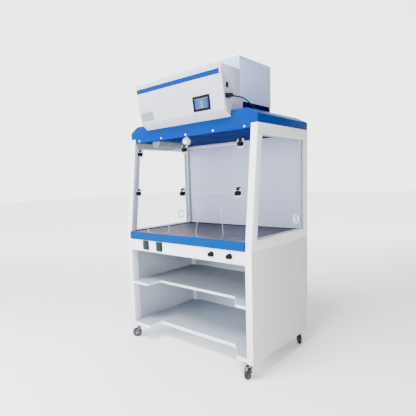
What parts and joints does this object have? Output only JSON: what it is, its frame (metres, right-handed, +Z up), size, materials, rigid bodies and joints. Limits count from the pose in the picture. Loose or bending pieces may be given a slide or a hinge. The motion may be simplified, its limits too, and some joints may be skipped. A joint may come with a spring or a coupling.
{
  "type": "ductless fume hood",
  "caption": "Ductless fume hood on castors: a shelved base, a glazed chamber with a folding front, and a filter and fan unit with its control box on top.",
  "frame": {"origin": "bottom centre of the hood's bounding box, on the floor between the castors", "axes": "+Z up, +X to the right as seen from the front, which faces -Y"},
  "size_m": [1.2, 0.9213, 2.089],
  "materials": {
    "carcass": "fine textured powder coat",
    "liner": "smooth powder coat",
    "shelf": "smooth powder coat",
    "apron": "smooth powder coat",
    "trim": "smooth powder coat",
    "worktop": "dark satin resin",
    "side_pane": "clear acrylic",
    "front_pane": "clear acrylic",
    "white_plastic": "moulded",
    "back_wall": "smooth powder coat",
    "header_blue": "smooth powder coat",
    "ceiling_blue": "smooth powder coat",
    "lamp": "satin body with dark caps",
    "hinge_black": "moulded",
    "hinge_grey": "anodised",
    "tray_navy": "smooth powder coat",
    "filter": "carbon media in a frame",
    "unit_grey": "smooth powder coat",
    "grille": "black wire finish",
    "zinc": "zinc plated",
    "fan": "pressed sheet",
    "control_white": "smooth powder coat",
    "screen": "glass-fronted display",
    "black_plastic": "moulded",
    "socket": "moulded",
    "brass": "turned",
    "valve_black": "moulded",
    "knob_black": "moulded",
    "tyre": "grey thermoplastic rubber",
    "chrome": "plated",
    "lead": "moulded sheath"
  },
  "bodies": {
    "hood": {"base_side_left": "carcass", "base_side_right": "carcass", "base_rear_panel": "liner", "bottom_shelf": "shelf", "middle_shelf": "shelf", "front_apron": "apron", "sill_trim": "trim", "work_surface": "worktop", "side_frame_left": "carcass", "side_frame_right": "carcass", "side_windows": "side_pane", "port_rings": "white_plastic", "chamber_back_panel": "back_wall", "header_cap": "header_blue", "ceiling_panel": "ceiling_blue", "work_lamp": "lamp", "airflow_sensor": "white_plastic", "front_strip": "front_pane", "top_hinge_blocks": "hinge_black", "filter_tray": "tray_navy", "carbon_filter": "filter", "fan_box": "unit_grey", "exhaust_grille": "grille", "blower_mount": "zinc", "control_box": "control_white", "touch_screen": "screen", "power_entry": "black_plastic", "socket_boxes": "socket", "valve_bodies": "brass", "castor_plates": "zinc", "mains_connector": "lead", "mains_cord": "lead", "mains_plug": "lead"},
    "upper_sash": {"upper_sash": "front_pane", "upper_sash_leaves": "hinge_grey", "mid_hinge_blocks": "hinge_black"},
    "lower_sash": {"lower_sash": "front_pane", "lower_sash_leaves": "hinge_grey"},
    "power_rocker": {"power_rocker": "black_plastic"},
    "fan_wheel": {"fan_wheel": "fan"},
    "socket_cover_left": {"socket_cover_left": "socket"},
    "socket_cover_right": {"socket_cover_right": "socket"},
    "valve_knob_left": {"valve_knob_left": "valve_black"},
    "valve_knob_right": {"valve_knob_right": "valve_black"},
    "star_knob_top_left": {"star_knob_top_left": "knob_black"},
    "star_knob_top_middle": {"star_knob_top_middle": "knob_black"},
    "star_knob_top_right": {"star_knob_top_right": "knob_black"},
    "star_knob_mid_left": {"star_knob_mid_left": "knob_black"},
    "star_knob_mid_middle": {"star_knob_mid_middle": "knob_black"},
    "star_knob_mid_right": {"star_knob_mid_right": "knob_black"},
    "castor_fork_front_left": {"castor_fork_front_left": "zinc"},
    "castor_wheel_front_left": {"castor_wheel_front_left": "tyre"},
    "castor_fork_front_right": {"castor_fork_front_right": "zinc"},
    "castor_wheel_front_right": {"castor_wheel_front_right": "tyre"},
    "castor_fork_rear_left": {"castor_fork_rear_left": "zinc"},
    "castor_wheel_rear_left": {"castor_wheel_rear_left": "tyre"},
    "castor_fork_rear_right": {"castor_fork_rear_right": "zinc"},
    "castor_wheel_rear_right": {"castor_wheel_rear_right": "tyre"},
    "brake_pedal_front_left": {"brake_pedal_front_left": "chrome"},
    "brake_pedal_front_right": {"brake_pedal_front_right": "chrome"}
  },
  "joints": [
    {"name": "upper_sash_fold", "type": "hinge", "parent": "hood", "child": "upper_sash", "pos_m": [0, -0.29036, 1.53034], "axis": [-1, 0, 0], "range_deg": [0, 90]},
    {"name": "lower_sash_fold", "type": "hinge", "parent": "upper_sash", "child": "lower_sash", "pos_m": [0, -0.32663, 1.22146], "axis": [-1, 0, 0], "range_deg": [0, 120]},
    {"name": "star_knob_top_left_turn", "type": "hinge", "parent": "upper_sash", "child": "star_knob_top_left", "pos_m": [-0.48, -0.30046, 1.50434], "axis": [0, 0.9932, -0.1166], "range_deg": [0, 360]},
    {"name": "star_knob_top_middle_turn", "type": "hinge", "parent": "upper_sash", "child": "star_knob_top_middle", "pos_m": [0, -0.30046, 1.50434], "axis": [0, 0.9932, -0.1166], "range_deg": [0, 360]},
    {"name": "star_knob_top_right_turn", "type": "hinge", "parent": "upper_sash", "child": "star_knob_top_right", "pos_m": [0.48, -0.30046, 1.50434], "axis": [0, 0.9932, -0.1166], "range_deg": [0, 360]},
    {"name": "star_knob_mid_left_turn", "type": "hinge", "parent": "lower_sash", "child": "star_knob_mid_left", "pos_m": [-0.48, -0.33673, 1.19546], "axis": [0, 0.9932, -0.1166], "range_deg": [0, 360]},
    {"name": "star_knob_mid_middle_turn", "type": "hinge", "parent": "lower_sash", "child": "star_knob_mid_middle", "pos_m": [0, -0.33673, 1.19546], "axis": [0, 0.9932, -0.1166], "range_deg": [0, 360]},
    {"name": "star_knob_mid_right_turn", "type": "hinge", "parent": "lower_sash", "child": "star_knob_mid_right", "pos_m": [0.48, -0.33673, 1.19546], "axis": [0, 0.9932, -0.1166], "range_deg": [0, 360]},
    {"name": "castor_swivel_front_left", "type": "hinge", "parent": "hood", "child": "castor_fork_front_left", "pos_m": [-0.545, -0.326, 0.092], "axis": [0, 0, 1], "continuous": true},
    {"name": "castor_roll_front_left", "type": "hinge", "parent": "castor_fork_front_left", "child": "castor_wheel_front_left", "pos_m": [-0.5648, -0.3458, 0.0375], "axis": [0.7071, -0.7071, 0], "continuous": true},
    {"name": "brake_press_front_left", "type": "hinge", "parent": "castor_fork_front_left", "child": "brake_pedal_front_left", "pos_m": [-0.55631, -0.33731, 0.085], "axis": [0.7071, -0.7071, 0], "range_deg": [0, 8]},
    {"name": "castor_swivel_front_right", "type": "hinge", "parent": "hood", "child": "castor_fork_front_right", "pos_m": [0.545, -0.326, 0.092], "axis": [0, 0, 1], "continuous": true},
    {"name": "castor_roll_front_right", "type": "hinge", "parent": "castor_fork_front_right", "child": "castor_wheel_front_right", "pos_m": [0.54744, -0.35389, 0.0375], "axis": [0.9962, 0.0872, 0], "continuous": true},
    {"name": "brake_press_front_right", "type": "hinge", "parent": "castor_fork_front_right", "child": "brake_pedal_front_right", "pos_m": [0.54639, -0.34194, 0.085], "axis": [0.9962, 0.0872, 0], "range_deg": [0, 8]},
    {"name": "castor_swivel_rear_left", "type": "hinge", "parent": "hood", "child": "castor_fork_rear_left", "pos_m": [-0.545, 0.354, 0.092], "axis": [0, 0, 1], "continuous": true},
    {"name": "castor_roll_rear_left", "type": "hinge", "parent": "castor_fork_rear_left", "child": "castor_wheel_rear_left", "pos_m": [-0.5648, 0.3342, 0.0375], "axis": [0.7071, -0.7071, 0], "continuous": true},
    {"name": "castor_swivel_rear_right", "type": "hinge", "parent": "hood", "child": "castor_fork_rear_right", "pos_m": [0.545, 0.354, 0.092], "axis": [0, 0, 1], "continuous": true},
    {"name": "castor_roll_rear_right", "type": "hinge", "parent": "castor_fork_rear_right", "child": "castor_wheel_rear_right", "pos_m": [0.563, 0.33255, 0.0375], "axis": [0.766, 0.6428, 0], "continuous": true},
    {"name": "socket_cover_lift_left", "type": "hinge", "parent": "hood", "child": "socket_cover_left", "pos_m": [-0.368, -0.3795, 0.8285], "axis": [-1, 0, 0], "range_deg": [0, 90], "stiffness_Nm_per_rad": 0.02, "springref_deg": -17.19},
    {"name": "socket_cover_lift_right", "type": "hinge", "parent": "hood", "child": "socket_cover_right", "pos_m": [-0.219, -0.3795, 0.8285], "axis": [-1, 0, 0], "range_deg": [0, 90], "stiffness_Nm_per_rad": 0.02, "springref_deg": -17.19},
    {"name": "valve_turn_left", "type": "hinge", "parent": "hood", "child": "valve_knob_left", "pos_m": [0.286, -0.379, 0.795], "axis": [0, 1, 0], "range_deg": [0, 270]},
    {"name": "valve_turn_right", "type": "hinge", "parent": "hood", "child": "valve_knob_right", "pos_m": [0.435, -0.379, 0.795], "axis": [0, 1, 0], "range_deg": [0, 270]},
    {"name": "power_rocker_tip", "type": "hinge", "parent": "hood", "child": "power_rocker", "pos_m": [0.4005, -0.312, 1.876], "axis": [0, -1, 0], "range_deg": [0, 14]},
    {"name": "fan_spin", "type": "hinge", "parent": "hood", "child": "fan_wheel", "pos_m": [0, 0.024, 1.892], "axis": [0, 0, 1], "continuous": true}
  ]
}
